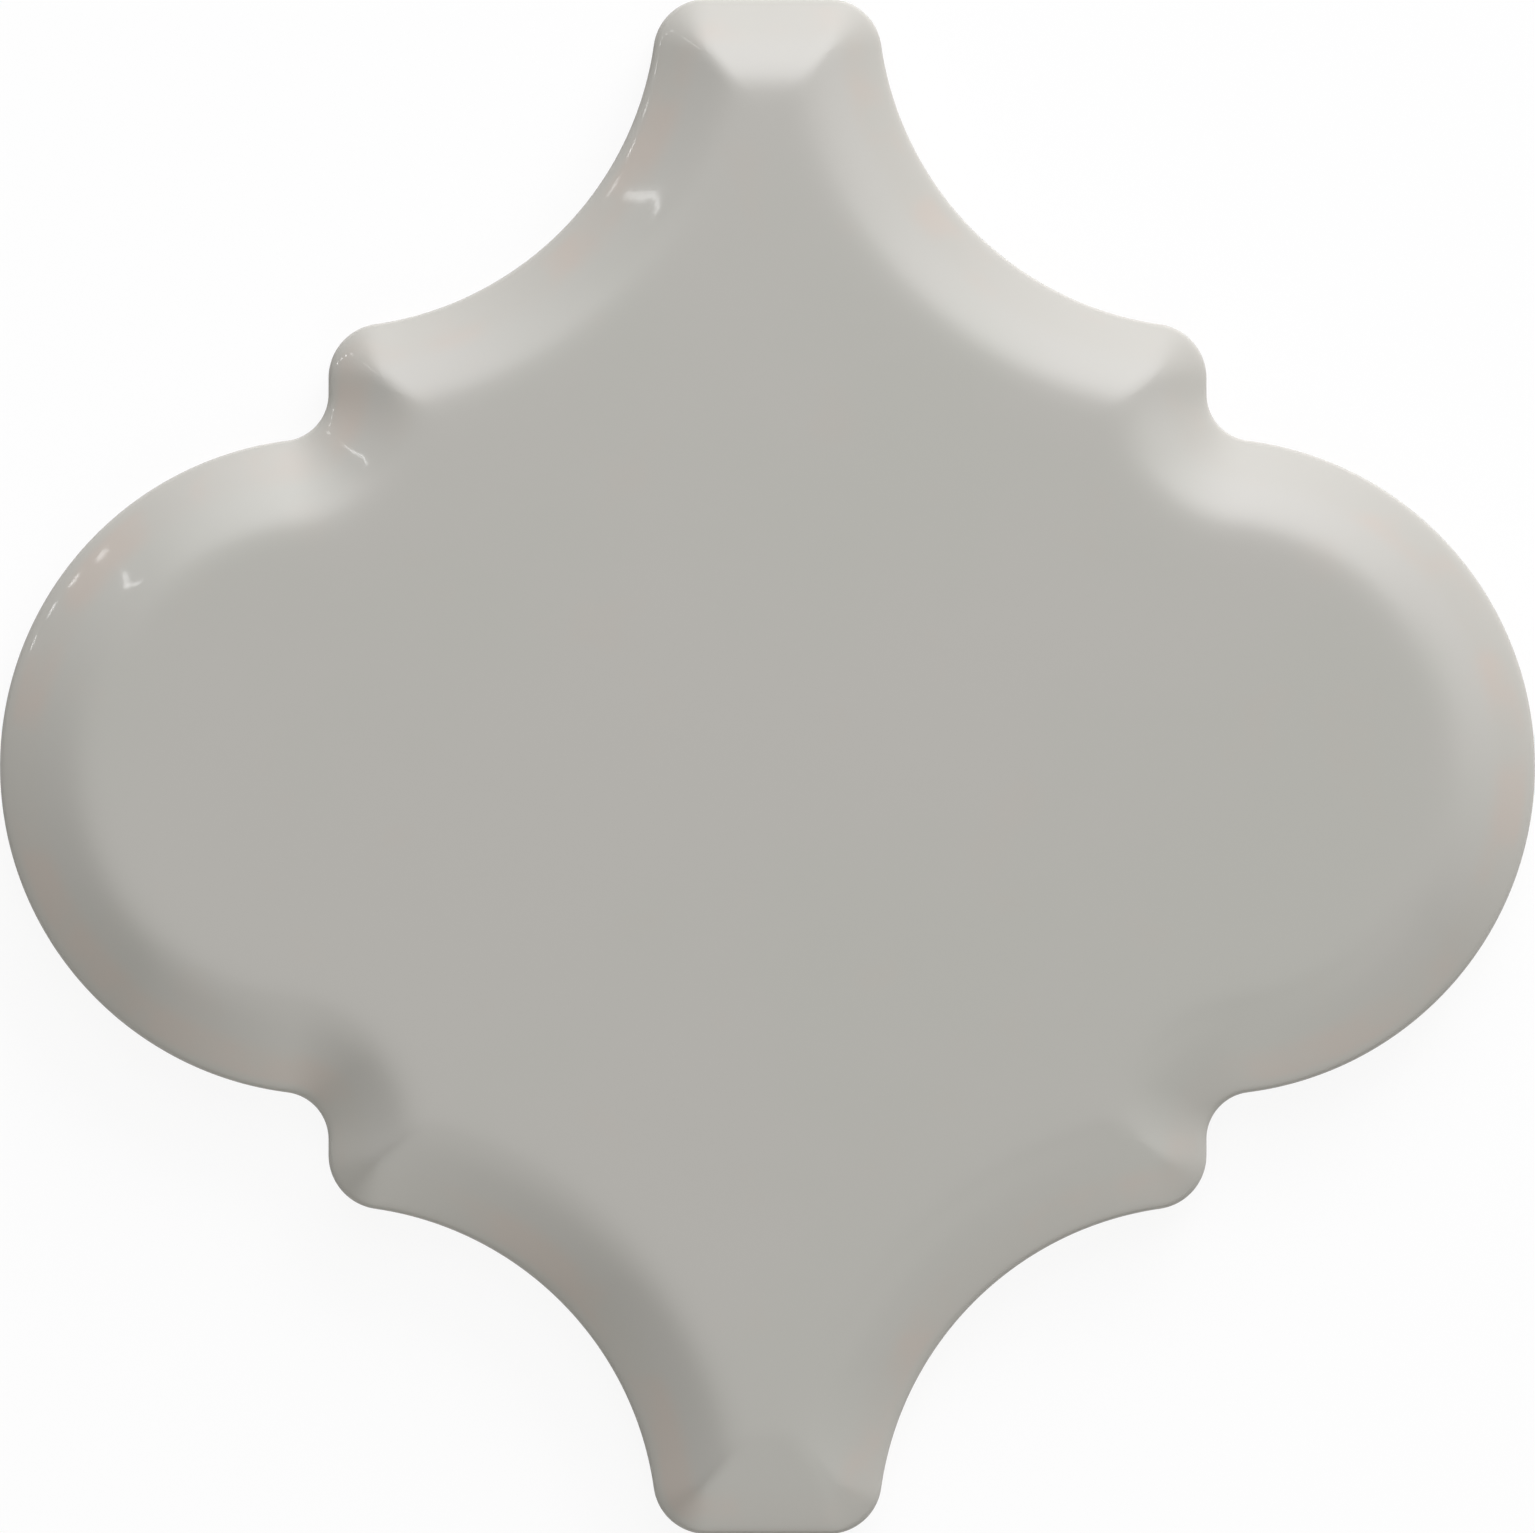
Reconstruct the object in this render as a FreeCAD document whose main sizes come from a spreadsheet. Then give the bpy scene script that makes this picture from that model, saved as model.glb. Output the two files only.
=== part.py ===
import FreeCAD, Part
import math
import os
import Sketcher

NODE = "arabesque_tile"

# Driving dimensions in millimetres
DIMENSIONS = {
    "lobe_radius": 32.1,
    "tip_width": 21.6,
    "riser_height": 10.8,
    "tip_corner_radius": 5.2,
    "shoulder_radius": 5.3,
    "notch_radius": 4.6,
    "tile_thickness": 8.5,
    "bevel_width": 7.7,
    "bevel_drop": 2.9,
    "crest_radius": 11.0,
    "edge_radius": 1.0,
    "foot_chamfer": 0.5,
    "back_rim": 7.0,
    "groove_width": 3.0,
    "groove_depth": 0.7,
    "groove_pitch": 9.0,
}

# How far a cutting section reaches past the wall and the face it cuts
OVERRUN = 1.0

document = FreeCAD.newDocument(NODE)
sheet = document.addObject("Spreadsheet::Sheet", "dimensions")
for row, (alias, length) in enumerate(DIMENSIONS.items(), start=1):
    sheet.set(f"A{row}", alias)
    sheet.set(f"B{row}", str(length))
    sheet.setAlias(f"B{row}", alias)
document.recompute()


def size(alias):
    """Expression for one driving dimension."""
    return f"dimensions.{alias}"


def number(expression):
    """Value of an expression, in millimetres or degrees."""
    value = sheet.evalExpression(str(expression))
    return float(getattr(value, "Value", value))


# Sizes that follow from the driving ones
THICKNESS = size("tile_thickness")
LOBE = size("lobe_radius")
RISER_X = f"({size('tip_width')} / 2 + {LOBE})"
HALF_HEIGHT = f"(2 * {LOBE} + {size('riser_height')})"
NOTCH = f"min({size('notch_radius')}; {size('riser_height')} / 2)"
SHOULDER = f"min({size('shoulder_radius')}; {size('riser_height')} / 2)"
TIP_CORNER = f"min({size('tip_corner_radius')}; {size('tip_width')} / 2.5)"


def reach(radius):
    """Distance of a corner arc's centre from the large circle that it touches, along the straight side."""
    return f"sqrt({LOBE}^2 + 2 * {LOBE} * {radius})"


def turn(radius):
    """Angle of a corner arc between its straight side and the large circle."""
    return f"atan({reach(radius)} / ({radius}))"


NOTCH_Y = reach(NOTCH)
SHOULDER_Y = f"({HALF_HEIGHT} - {reach(SHOULDER)})"
TIP_X = f"({RISER_X} - {reach(TIP_CORNER)})"
TIP_Y = f"({HALF_HEIGHT} - {TIP_CORNER})"

# The bevel is a straight slope that runs into the flat face over a rounded crest
SLOPE = f"atan({size('bevel_drop')} / {size('bevel_width')})"
CREST_LENGTH = f"({size('crest_radius')} * tan({SLOPE} / 2))"
CREST_START = f"({size('bevel_width')} - {CREST_LENGTH} * cos({SLOPE}))"
CREST_END = f"({size('bevel_width')} + {CREST_LENGTH})"
RIM_HEIGHT = f"({THICKNESS} - {size('bevel_drop')})"

# The wall meets the slope over a rounded edge
EDGE = size("edge_radius")
WALL_TOP = f"({RIM_HEIGHT} + {EDGE} * tan({SLOPE}) - {EDGE} / cos({SLOPE}))"

body = document.addObject("PartDesign::Body", "Tile")
body.Label = NODE
planes = {}
for feature in body.Origin.OriginFeatures:
    planes[feature.Role] = feature


def level_sketch(name):
    """New sketch of the body on the plane of its back."""
    sketch = body.newObject("Sketcher::SketchObject", name)
    sketch.AttachmentSupport = [(planes["XY_Plane"], "")]
    sketch.MapMode = "FlatFace"
    return sketch


def upright_sketch(name, across, along, swing):
    """New upright sketch of the body over a point of the outline, swung about the vertical."""
    sketch = body.newObject("Sketcher::SketchObject", name)
    sketch.AttachmentSupport = [(planes["XZ_Plane"], "")]
    sketch.MapMode = "FlatFace"
    sketch.AttachmentOffset = FreeCAD.Placement(
        FreeCAD.Vector(number(across), 0, -number(along)),
        FreeCAD.Rotation(FreeCAD.Vector(0, 1, 0), number(swing)),
    )
    sketch.setExpression("AttachmentOffset.Base.x", across)
    sketch.setExpression("AttachmentOffset.Base.z", f"-({along})")
    sketch.setExpression("AttachmentOffset.Rotation.Angle", swing)
    return sketch


def bind(sketch, kind, place, expression):
    """Dimension of a sketch that takes its value from the sheet."""
    index = sketch.addConstraint(Sketcher.Constraint(kind, *place, number(expression)))
    sketch.setExpression(f"Constraints[{index}]", expression)


def closed_profile(sketch, corners, arcs):
    """Closed outline through corners; arcs gives an edge's centre, radius and sense (1 anticlockwise)."""
    points = [FreeCAD.Vector(number(across), number(up), 0) for across, up in corners]
    starts, ends = [], []
    for index, start in enumerate(points):
        end = points[(index + 1) % len(points)]
        if index not in arcs:
            edge = sketch.addGeometry(Part.LineSegment(start, end))
            starts.append((edge, 1))
            ends.append((edge, 2))
            continue
        across, up, radius, sense = arcs[index]
        centre = FreeCAD.Vector(number(across), number(up), 0)
        circle = Part.Circle(centre, FreeCAD.Vector(0, 0, 1), number(radius))
        first, last = (start, end) if sense > 0 else (end, start)
        angles = [math.atan2(p.y - centre.y, p.x - centre.x) for p in (first, last)]
        edge = sketch.addGeometry(Part.ArcOfCircle(circle, *angles))
        starts.append((edge, 1 if sense > 0 else 2))
        ends.append((edge, 2 if sense > 0 else 1))
        bind(sketch, "Radius", (edge,), radius)
    for index, (across, up) in enumerate(corners):
        sketch.addConstraint(Sketcher.Constraint("Coincident", *ends[index - 1], *starts[index]))
        bind(sketch, "DistanceX", (-1, 1, *starts[index]), across)
        bind(sketch, "DistanceY", (-1, 1, *starts[index]), up)


def bevel_section(sketch, edge, depth):
    """What the bevel takes off inside an edge, down to a depth from that edge."""
    deep = min(number(depth), number(CREST_END))
    inner = f"({edge} - {depth})"
    outer = f"({edge} + {OVERRUN})"
    top = f"({THICKNESS} + {OVERRUN})"
    corners = [(outer, WALL_TOP), (outer, top), (inner, top)]
    arcs = {}
    if deep > number(CREST_START):
        crest_x = f"({edge} - {CREST_END})"
        crest_z = f"({THICKNESS} - {size('crest_radius')})"
        rise = f"sqrt({size('crest_radius')}^2 - ({inner} - {crest_x})^2)"
        crest = (crest_x, crest_z, size("crest_radius"), -1)
        arcs[len(corners)] = crest
        corners.append((inner, f"({crest_z} + {rise})"))
        if deep > number(size("bevel_width")):
            arcs[len(corners)] = crest
            middle = f"({size('crest_radius')} * sin({SLOPE} / 2))"
            drop = f"({size('crest_radius')} * (1 - cos({SLOPE} / 2)))"
            corners.append((f"({crest_x} + {middle})", f"({THICKNESS} - {drop})"))
        corners.append((f"({edge} - {CREST_START})", f"({RIM_HEIGHT} + {CREST_START} * tan({SLOPE}))"))
    else:
        corners.append((inner, f"({RIM_HEIGHT} + {depth} * tan({SLOPE}))"))
    arcs[len(corners)] = (f"({edge} - {EDGE})", WALL_TOP, EDGE, -1)
    corners.append((f"({edge} - {EDGE} * (1 - sin({SLOPE})))", f"({WALL_TOP} + {EDGE} * cos({SLOPE}))"))
    corners.append((edge, WALL_TOP))
    closed_profile(sketch, corners, arcs)


def turned_bevel(name, centre, edge, swing, sweep, depth=CREST_END):
    """Bevel along an arc of the outline; edge is its radius, below zero where the arc bends inwards."""
    sketch = upright_sketch(f"{name}Section", *centre, swing)
    bevel_section(sketch, edge, depth)
    groove = body.newObject("PartDesign::Groove", f"{name}Bevel")
    groove.Profile = sketch
    groove.ReferenceAxis = (sketch, ["V_Axis"])
    groove.Angle = number(sweep)
    groove.setExpression("Angle", sweep)


def straight_bevel(name, start, swing, length):
    """Bevel along a straight of the outline."""
    sketch = upright_sketch(f"{name}Section", *start, swing)
    bevel_section(sketch, "0", CREST_END)
    pocket = body.newObject("PartDesign::Pocket", f"{name}Bevel")
    pocket.Profile = sketch
    pocket.Length = number(length)
    pocket.setExpression("Length", length)


# Quarter of the blank: lobe, notch, riser, shoulder, neck and half of the tip
blank_sketch = level_sketch("BlankOutline")
notch_x = f"({RISER_X} + {NOTCH})"
shoulder_x = f"({RISER_X} - {SHOULDER})"
lobe_share = f"({LOBE} / ({LOBE} + {NOTCH}))"
neck_share = f"({LOBE} / ({LOBE} + {SHOULDER}))"
tip_share = f"({LOBE} / ({LOBE} + {TIP_CORNER}))"
blank_corners = [
    ("0", "0"),
    (f"({RISER_X} + {LOBE})", "0"),
    (f"({RISER_X} + {NOTCH} * {lobe_share})", f"({NOTCH_Y} * {lobe_share})"),
    (RISER_X, NOTCH_Y),
    (RISER_X, SHOULDER_Y),
    (f"({RISER_X} - {SHOULDER} * {neck_share})", f"({HALF_HEIGHT} - {reach(SHOULDER)} * {neck_share})"),
    (f"({RISER_X} - {reach(TIP_CORNER)} * {tip_share})", f"({HALF_HEIGHT} - {TIP_CORNER} * {tip_share})"),
    (TIP_X, HALF_HEIGHT),
    ("0", HALF_HEIGHT),
]
blank_arcs = {
    1: (RISER_X, "0", LOBE, 1),
    2: (notch_x, NOTCH_Y, NOTCH, -1),
    4: (shoulder_x, SHOULDER_Y, SHOULDER, 1),
    5: (RISER_X, HALF_HEIGHT, LOBE, -1),
    6: (TIP_X, TIP_Y, TIP_CORNER, 1),
}
closed_profile(blank_sketch, blank_corners, blank_arcs)
blank = body.newObject("PartDesign::Pad", "Blank")
blank.Profile = blank_sketch
blank.Length = number(THICKNESS)
blank.setExpression("Length", THICKNESS)
document.recompute()

# Broken edge around the back
foot_names = []
for index, edge in enumerate(blank.Shape.Edges, start=1):
    span = edge.BoundBox
    if span.ZMax < 1e-6 and span.XMax > 1e-6 and span.YMax > 1e-6:
        foot_names.append(f"Edge{index}")
foot = body.newObject("PartDesign::Chamfer", "FootChamfer")
foot.Base = (blank, foot_names)
foot.Size = number(size("foot_chamfer"))
foot.setExpression("Size", size("foot_chamfer"))
document.recompute()

# Bevel along each stretch of the quarter's edge, all with the same section
tip_swing = f"(90 deg - {turn(TIP_CORNER)})"
turned_bevel("Lobe", (RISER_X, "0"), LOBE, "0 deg", turn(NOTCH))
turned_bevel("Notch", (notch_x, NOTCH_Y), f"(-{NOTCH})", "0 deg", turn(NOTCH))
straight_bevel("Riser", (RISER_X, NOTCH_Y), "0 deg", f"{SHOULDER_Y} - {NOTCH_Y}")
turned_bevel("Shoulder", (shoulder_x, SHOULDER_Y), SHOULDER, "0 deg", turn(SHOULDER), SHOULDER)
turned_bevel("Neck", (RISER_X, HALF_HEIGHT), f"(-{LOBE})", tip_swing, f"{turn(SHOULDER)} - {tip_swing}")
turned_bevel("Corner", (TIP_X, TIP_Y), TIP_CORNER, tip_swing, turn(TIP_CORNER), TIP_CORNER)
straight_bevel("Tip", (TIP_X, HALF_HEIGHT), "90 deg", TIP_X)


def groove_end(far_edge):
    """Half length of a keying groove that keeps the rim's width clear of the outline."""
    if number(far_edge) < number(f"{LOBE} - {size('back_rim')}"):
        return f"({RISER_X} + sqrt(({LOBE} - {size('back_rim')})^2 - ({far_edge})^2))"
    below_tip = f"({HALF_HEIGHT} - {far_edge})"
    if number(below_tip) > number(f"{LOBE} + {size('back_rim')}"):
        return f"({RISER_X} - {size('back_rim')})"
    neck = f"sqrt(({LOBE} + {size('back_rim')})^2 - {below_tip}^2)"
    return f"({RISER_X} - max({size('back_rim')}; {neck}))"


# Shallow keying grooves in the back, inside a plain rim
keying_sketch = level_sketch("KeyingOutline")
groove_count = 0
while True:
    middle = f"({groove_count} + 0.5) * {size('groove_pitch')}"
    near_edge = f"({middle} - {size('groove_width')} / 2)"
    far_edge = f"({middle} + {size('groove_width')} / 2)"
    if number(far_edge) > number(f"{HALF_HEIGHT} - {size('back_rim')}"):
        break
    end = groove_end(far_edge)
    if number(end) < number(size("groove_width")):
        break
    corners = [("0", near_edge), (end, near_edge), (end, far_edge), ("0", far_edge)]
    closed_profile(keying_sketch, corners, {})
    groove_count += 1
keying = body.newObject("PartDesign::Pocket", "Keying")
keying.Profile = keying_sketch
keying.Length = number(size("groove_depth"))
keying.setExpression("Length", size("groove_depth"))
keying.Reversed = True

# Whole tile from its quarter
tall_half = body.newObject("PartDesign::Mirrored", "RightHalf")
tall_half.TransformMode = "Whole shape"
tall_half.MirrorPlane = (planes["XZ_Plane"], [""])
body.Tip = tall_half
whole = body.newObject("PartDesign::Mirrored", "Whole")
whole.TransformMode = "Whole shape"
whole.MirrorPlane = (planes["YZ_Plane"], [""])
body.Tip = whole
document.recompute()


body.Placement = FreeCAD.Placement()
document.recompute()

for feature in document.Objects:
    if "Invalid" in feature.State or "Error" in feature.State:
        raise RuntimeError(f"{feature.Name} did not build: {feature.State}")
    shape = getattr(feature, "Shape", None)
    if feature.isDerivedFrom("PartDesign::Feature") and (shape.isNull() or not shape.isValid()):
        raise RuntimeError(f"{feature.Name} has no valid shape")
    if feature.isDerivedFrom("PartDesign::Feature"):
        print(feature.Name, round(shape.Volume, 2), len(shape.Solids), len(shape.Faces))

box = body.Shape.BoundBox
print(f"{NODE}: {box.XLength:.3f} x {box.YLength:.3f} x {box.ZLength:.3f} mm")
os.makedirs("parts", exist_ok=True)
body.Shape.exportStep(f"parts/{NODE}.step")
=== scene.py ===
"""Studio scene of a glazed arabesque wall tile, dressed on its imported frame."""

import logging
import math
from dataclasses import dataclass, replace
from enum import Enum
from typing import NamedTuple

import bmesh
import bpy
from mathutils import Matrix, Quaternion, Vector
from mathutils.geometry import delaunay_2d_cdt
from mathutils.kdtree import KDTree


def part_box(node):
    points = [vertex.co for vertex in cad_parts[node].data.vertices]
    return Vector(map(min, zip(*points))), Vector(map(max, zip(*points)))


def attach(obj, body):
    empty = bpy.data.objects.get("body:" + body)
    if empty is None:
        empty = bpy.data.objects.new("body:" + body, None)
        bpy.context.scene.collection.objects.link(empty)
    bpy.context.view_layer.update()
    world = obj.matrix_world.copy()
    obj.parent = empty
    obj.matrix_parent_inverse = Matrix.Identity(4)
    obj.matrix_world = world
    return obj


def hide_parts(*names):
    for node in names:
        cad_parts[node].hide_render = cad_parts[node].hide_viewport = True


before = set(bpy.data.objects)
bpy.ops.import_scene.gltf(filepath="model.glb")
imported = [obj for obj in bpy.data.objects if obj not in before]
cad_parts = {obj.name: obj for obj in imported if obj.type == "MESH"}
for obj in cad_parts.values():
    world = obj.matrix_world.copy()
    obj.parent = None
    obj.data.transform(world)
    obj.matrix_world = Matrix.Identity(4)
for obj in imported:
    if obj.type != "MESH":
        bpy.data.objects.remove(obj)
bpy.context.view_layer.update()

MM = 0.001
NODE = "arabesque_tile"
BODY = "root"

# Points nearer to each other than WELD are one point, and an attribute above MARKED counts as set.
WELD = 1e-7
MARKED = 0.5

# Kind of Delaunay result that holds only the triangles inside the border.
INSIDE_BORDER = 1

# Places of the colour sockets on a mix node, whose names repeat.
MIX_SHARE, MIX_FIRST, MIX_SECOND, MIX_RESULT = 0, 6, 7, 2

log = logging.getLogger(NODE)

Colour = tuple[float, float, float]
Paint = tuple[float, float, float, float]
Span = tuple[float, float]
Socket = bpy.types.NodeSocket
Value = Socket | float
Ring = list[bmesh.types.BMVert]

WHITE: Paint = (1.0, 1.0, 1.0, 1.0)


def opaque(colour: Colour) -> Paint:
    """Give a colour the full alpha that a colour socket asks for."""
    return (*colour, 1.0)


class Coat(Enum):
    """What covers a band of the tile's surface."""

    GLAZE = 0
    BARE = 1


class Mark(Enum):
    """Named attributes that the blank carries into the node trees and the glaze."""

    PRESSED = "pressed"
    RIM = "rim"
    WANDER = "wander"
    BARE = "bare"
    INSET = "glaze_inset"


class Station(NamedTuple):
    """One ring of the blank.

    Attributes:
        inset: Distance in from the tile's edge.
        height: Height above the back.
        coat: What covers the band above the ring.
        wander: Share of the glaze line's wander that the ring takes.
    """

    inset: float
    height: float
    coat: Coat
    wander: float


class NodeDraft:
    """Shorthand for adding and linking the nodes of one tree."""

    def __init__(self, tree: bpy.types.NodeTree) -> None:
        """Keep the tree that the nodes go into."""
        self.tree = tree

    def add(self, kind: str, inputs: dict | None = None, **settings: object) -> bpy.types.Node:
        """Add a node.

        Args:
            kind: Blender's type name of the node.
            inputs: Values or sockets for its inputs, by name or place.
            settings: The node's own properties.

        Returns:
            The new node.
        """
        node = self.tree.nodes.new(kind)
        for name, value in settings.items():
            setattr(node, name, value)
        for key, value in (inputs or {}).items():
            self.feed(node.inputs[key], value)
        return node

    def feed(self, socket: Socket, value: object) -> None:
        """Link a socket to another one, or set its own value."""
        if isinstance(value, bpy.types.NodeSocket):
            self.tree.links.new(value, socket)
        else:
            socket.default_value = value

    def math(self, operation: str, *values: Value) -> Socket:
        """Add a math node and give its result."""
        node = self.add("ShaderNodeMath", dict(enumerate(values)), operation=operation)
        return node.outputs[0]

    def mix(self, share: Value, first: Socket | Paint, second: Socket | Paint) -> Socket:
        """Add a colour mix and give its result."""
        inputs = {MIX_SHARE: share, MIX_FIRST: first, MIX_SECOND: second}
        return self.add("ShaderNodeMix", inputs, data_type="RGBA").outputs[MIX_RESULT]

    def smooth_step(self, value: Socket, low: float, high: float) -> Socket:
        """Add a smooth ramp from 0 at low to 1 at high."""
        inputs = {"Value": value, "From Min": low, "From Max": high, "To Min": 0.0, "To Max": 1.0}
        return self.add("ShaderNodeMapRange", inputs, interpolation_type="SMOOTHSTEP").outputs[0]

    def noise(
        self, place: Socket, scale: Value, detail: float, roughness: float = 0.5, seed: Value | None = None
    ) -> Socket:
        """Add noise.

        Args:
            place: Where the noise is read.
            scale: Grains to a metre.
            detail: How many finer layers it has.
            roughness: Weight of each finer layer.
            seed: Slice of the noise, where one is chosen.

        Returns:
            The noise, about 0 to 1.
        """
        inputs = {"Vector": place, "Scale": scale, "Detail": detail, "Roughness": roughness}
        if seed is None:
            return self.add("ShaderNodeTexNoise", inputs).outputs["Fac"]
        return self.add("ShaderNodeTexNoise", inputs | {"W": seed}, noise_dimensions="4D").outputs["Fac"]


class MaterialTree(NodeDraft):
    """Node tree of a new material around its principled shader."""

    def __init__(self, name: str) -> None:
        """Open the material."""
        self.material = bpy.data.materials.new(name)
        self.material.use_nodes = True
        super().__init__(self.material.node_tree)
        self.shader = self.tree.nodes["Principled BSDF"]
        self.place = self.add("ShaderNodeTexCoord").outputs["Object"]

    def close(
        self, inputs: dict[str, object], relief: Socket, depth: float, strength: float = 1.0
    ) -> bpy.types.Material:
        """Feed the shader and bump its surface.

        Args:
            inputs: Values or sockets for the shader's inputs.
            relief: Height of the fine relief, 0 to 1.
            depth: Depth of that relief.
            strength: Strength of the bump.

        Returns:
            The finished material.
        """
        bump = self.add("ShaderNodeBump", {"Height": relief, "Strength": strength, "Distance": depth})
        for label, value in (inputs | {"Normal": bump.outputs["Normal"]}).items():
            self.feed(self.shader.inputs[label], value)
        return self.material


class GeometryTree(NodeDraft):
    """Geometry Nodes tree with named inputs, run on an object as a modifier."""

    def __init__(self, name: str, sizes: dict[str, float | int]) -> None:
        """Open the tree.

        Args:
            name: Name of the tree and its modifier.
            sizes: The tree's inputs and the values that the modifier gives them.
        """
        super().__init__(bpy.data.node_groups.new(name, "GeometryNodeTree"))
        face = self.tree.interface
        face.new_socket("Geometry", in_out="INPUT", socket_type="NodeSocketGeometry")
        face.new_socket("Geometry", in_out="OUTPUT", socket_type="NodeSocketGeometry")
        self.values: dict[str, float | int] = {}
        for label, value in sizes.items():
            kind = "NodeSocketInt" if isinstance(value, int) else "NodeSocketFloat"
            socket = face.new_socket(label, in_out="INPUT", socket_type=kind)
            self.values[socket.identifier] = value
        self.entry = self.add("NodeGroupInput")
        self.exit = self.add("NodeGroupOutput")

    def size(self, label: str) -> Socket:
        """Give the socket of a named input."""
        return self.entry.outputs[label]

    def attribute(self, mark: Mark) -> Socket:
        """Read one of the blank's marks."""
        node = self.add("GeometryNodeInputNamedAttribute", {"Name": mark.value}, data_type="FLOAT")
        return node.outputs["Attribute"]

    def is_set(self, mark: Mark) -> Socket:
        """Tell whether one of the blank's marks is set."""
        return self.math("GREATER_THAN", self.attribute(mark), MARKED)

    def store(self, geometry: Socket, mark: Mark, value: Value, domain: str) -> Socket:
        """Store a mark on the geometry's points or faces and give the geometry."""
        return self.add(
            "GeometryNodeStoreNamedAttribute",
            {"Geometry": geometry, "Name": mark.value, "Value": value},
            data_type="FLOAT",
            domain=domain,
        ).outputs[0]

    def vector(self, x: Value = 0.0, y: Value = 0.0, z: Value = 0.0) -> Socket:
        """Join three values to a vector."""
        return self.add("ShaderNodeCombineXYZ", {"X": x, "Y": y, "Z": z}).outputs[0]

    def close(self, geometry: Socket, *coats: tuple[bpy.types.Material, Socket | bool]) -> None:
        """Realize the finished geometry, coat it and link it to the tree's output.

        Args:
            geometry: The finished geometry.
            coats: Materials in the order they go on, each with the faces that it covers.
        """
        coated = self.add("GeometryNodeRealizeInstances", {"Geometry": geometry}).outputs[0]
        for material, covered in coats:
            coated = self.add(
                "GeometryNodeSetMaterial", {"Geometry": coated, "Selection": covered, "Material": material}
            ).outputs[0]
        self.feed(self.exit.inputs["Geometry"], coated)

    def fit_to(self, piece: bpy.types.Object) -> None:
        """Add the tree to an object and set its inputs by their identifiers."""
        modifier = piece.modifiers.new(self.tree.name, "NODES")
        modifier.node_group = self.tree
        for identifier, value in self.values.items():
            modifier[identifier] = value


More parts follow.
